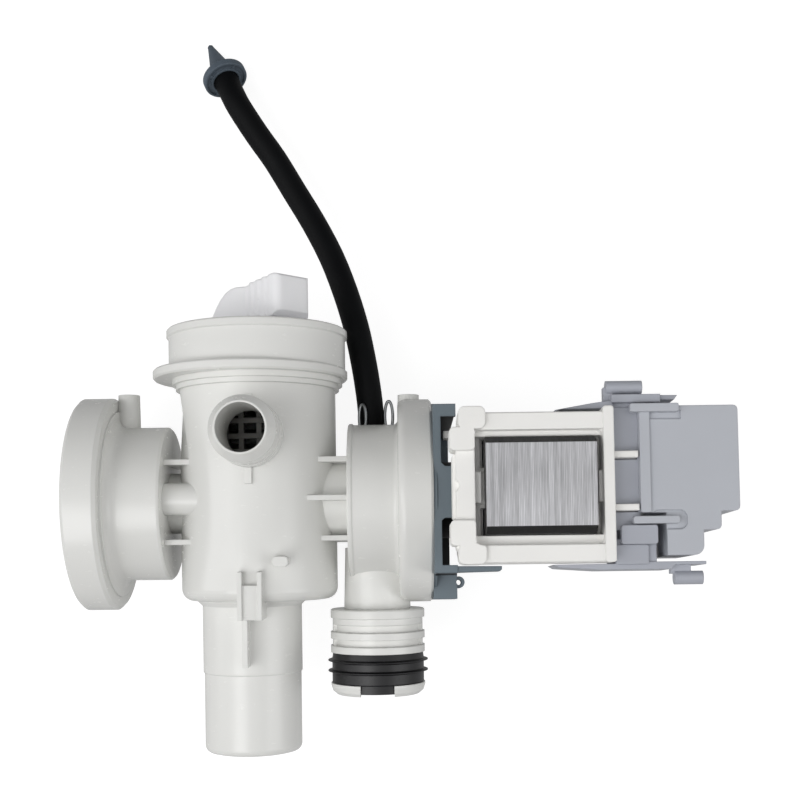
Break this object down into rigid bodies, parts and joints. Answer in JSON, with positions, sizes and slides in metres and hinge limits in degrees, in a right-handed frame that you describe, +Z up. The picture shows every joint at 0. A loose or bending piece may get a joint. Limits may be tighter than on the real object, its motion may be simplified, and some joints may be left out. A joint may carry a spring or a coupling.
{
  "type": "washer drain pump",
  "caption": "Washing machine drain pump: filter case with a twist-out strainer, synchronous motor on a volute, ringed outlet with check flap, blank side port and plugged drain hose.",
  "frame": {"origin": "centre of the four screw posts on the mounting plane, under the crossing of the pump and filter axes", "axes": "+X along the pump shaft towards the motor, +Y along the filter towards its cap, +Z up from the mounting plane"},
  "size_m": [0.2151, 0.2647, 0.0999],
  "materials": {
    "white_plastic": "satin moulded",
    "milky_plastic": "satin moulded, slightly translucent",
    "lattice_plastic": "satin moulded",
    "coil_plastic": "satin moulded",
    "bracket_plastic": "satin moulded",
    "terminal_plastic": "satin moulded",
    "bush_plastic": "smooth",
    "impeller_plastic": "satin moulded",
    "black_rubber": "matt",
    "hose_rubber": "matt",
    "slate_rubber": "matt",
    "laminations": "stacked sheet edges",
    "clip_wire": "bright wire",
    "shaft_steel": "ground",
    "ferrite": "ground",
    "winding_copper": "enamelled wire",
    "blade_brass": "tinned"
  },
  "bodies": {
    "housing": {"filter_case": "white_plastic", "circulation_port": "white_plastic", "drain_volute": "white_plastic", "outlet_barrel": "white_plastic", "outlet_seal": "black_rubber", "drain_hose": "hose_rubber", "hose_clip": "clip_wire", "motor_bracket": "bracket_plastic", "bracket_seal": "black_rubber", "stator_core": "laminations", "coil_frame": "coil_plastic", "coil_windings": "winding_copper", "terminal_housing": "terminal_plastic", "terminal_cover": "terminal_plastic", "terminals": "blade_brass", "bearing_holder": "bush_plastic", "front_bearing": "bush_plastic", "rear_bearing": "bush_plastic", "shaft_seal": "black_rubber"},
    "rotor": {"rotor_shaft": "shaft_steel", "rotor_magnet": "ferrite", "drive_dog": "bush_plastic"},
    "wheel": {"impeller": "impeller_plastic"},
    "basket": {"strainer": "lattice_plastic"},
    "cap": {"filter_cap": "milky_plastic", "cap_gasket": "black_rubber"},
    "flap": {"valve_flap": "black_rubber"},
    "plug": {"drain_plug": "slate_rubber"}
  },
  "joints": [
    {"name": "rotor_spin", "type": "hinge", "parent": "housing", "child": "rotor", "pos_m": [0.08, 0, 0.047], "axis": [1, 0, 0], "continuous": true},
    {"name": "impeller_play", "type": "hinge", "parent": "rotor", "child": "wheel", "pos_m": [0.045, 0, 0.047], "axis": [1, 0, 0], "range_deg": [-115, 115]},
    {"name": "filter_pull", "type": "slide", "parent": "housing", "child": "basket", "axis": [0, 1, 0], "range_m": [0, 0.09]},
    {"name": "cap_turn", "type": "hinge", "parent": "basket", "child": "cap", "pos_m": [0, 0.05, 0.047], "axis": [0, 1, 0], "range_deg": [0, 90]},
    {"name": "flap_swing", "type": "hinge", "parent": "housing", "child": "flap", "pos_m": [0.0408, -0.0588, 0.0566], "axis": [-1, 0, 0], "range_deg": [0, 60]},
    {"name": "plug_pull", "type": "slide", "parent": "housing", "child": "plug", "axis": [-0.3794, 0.8599, -0.3414], "range_m": [0, 0.025]}
  ]
}
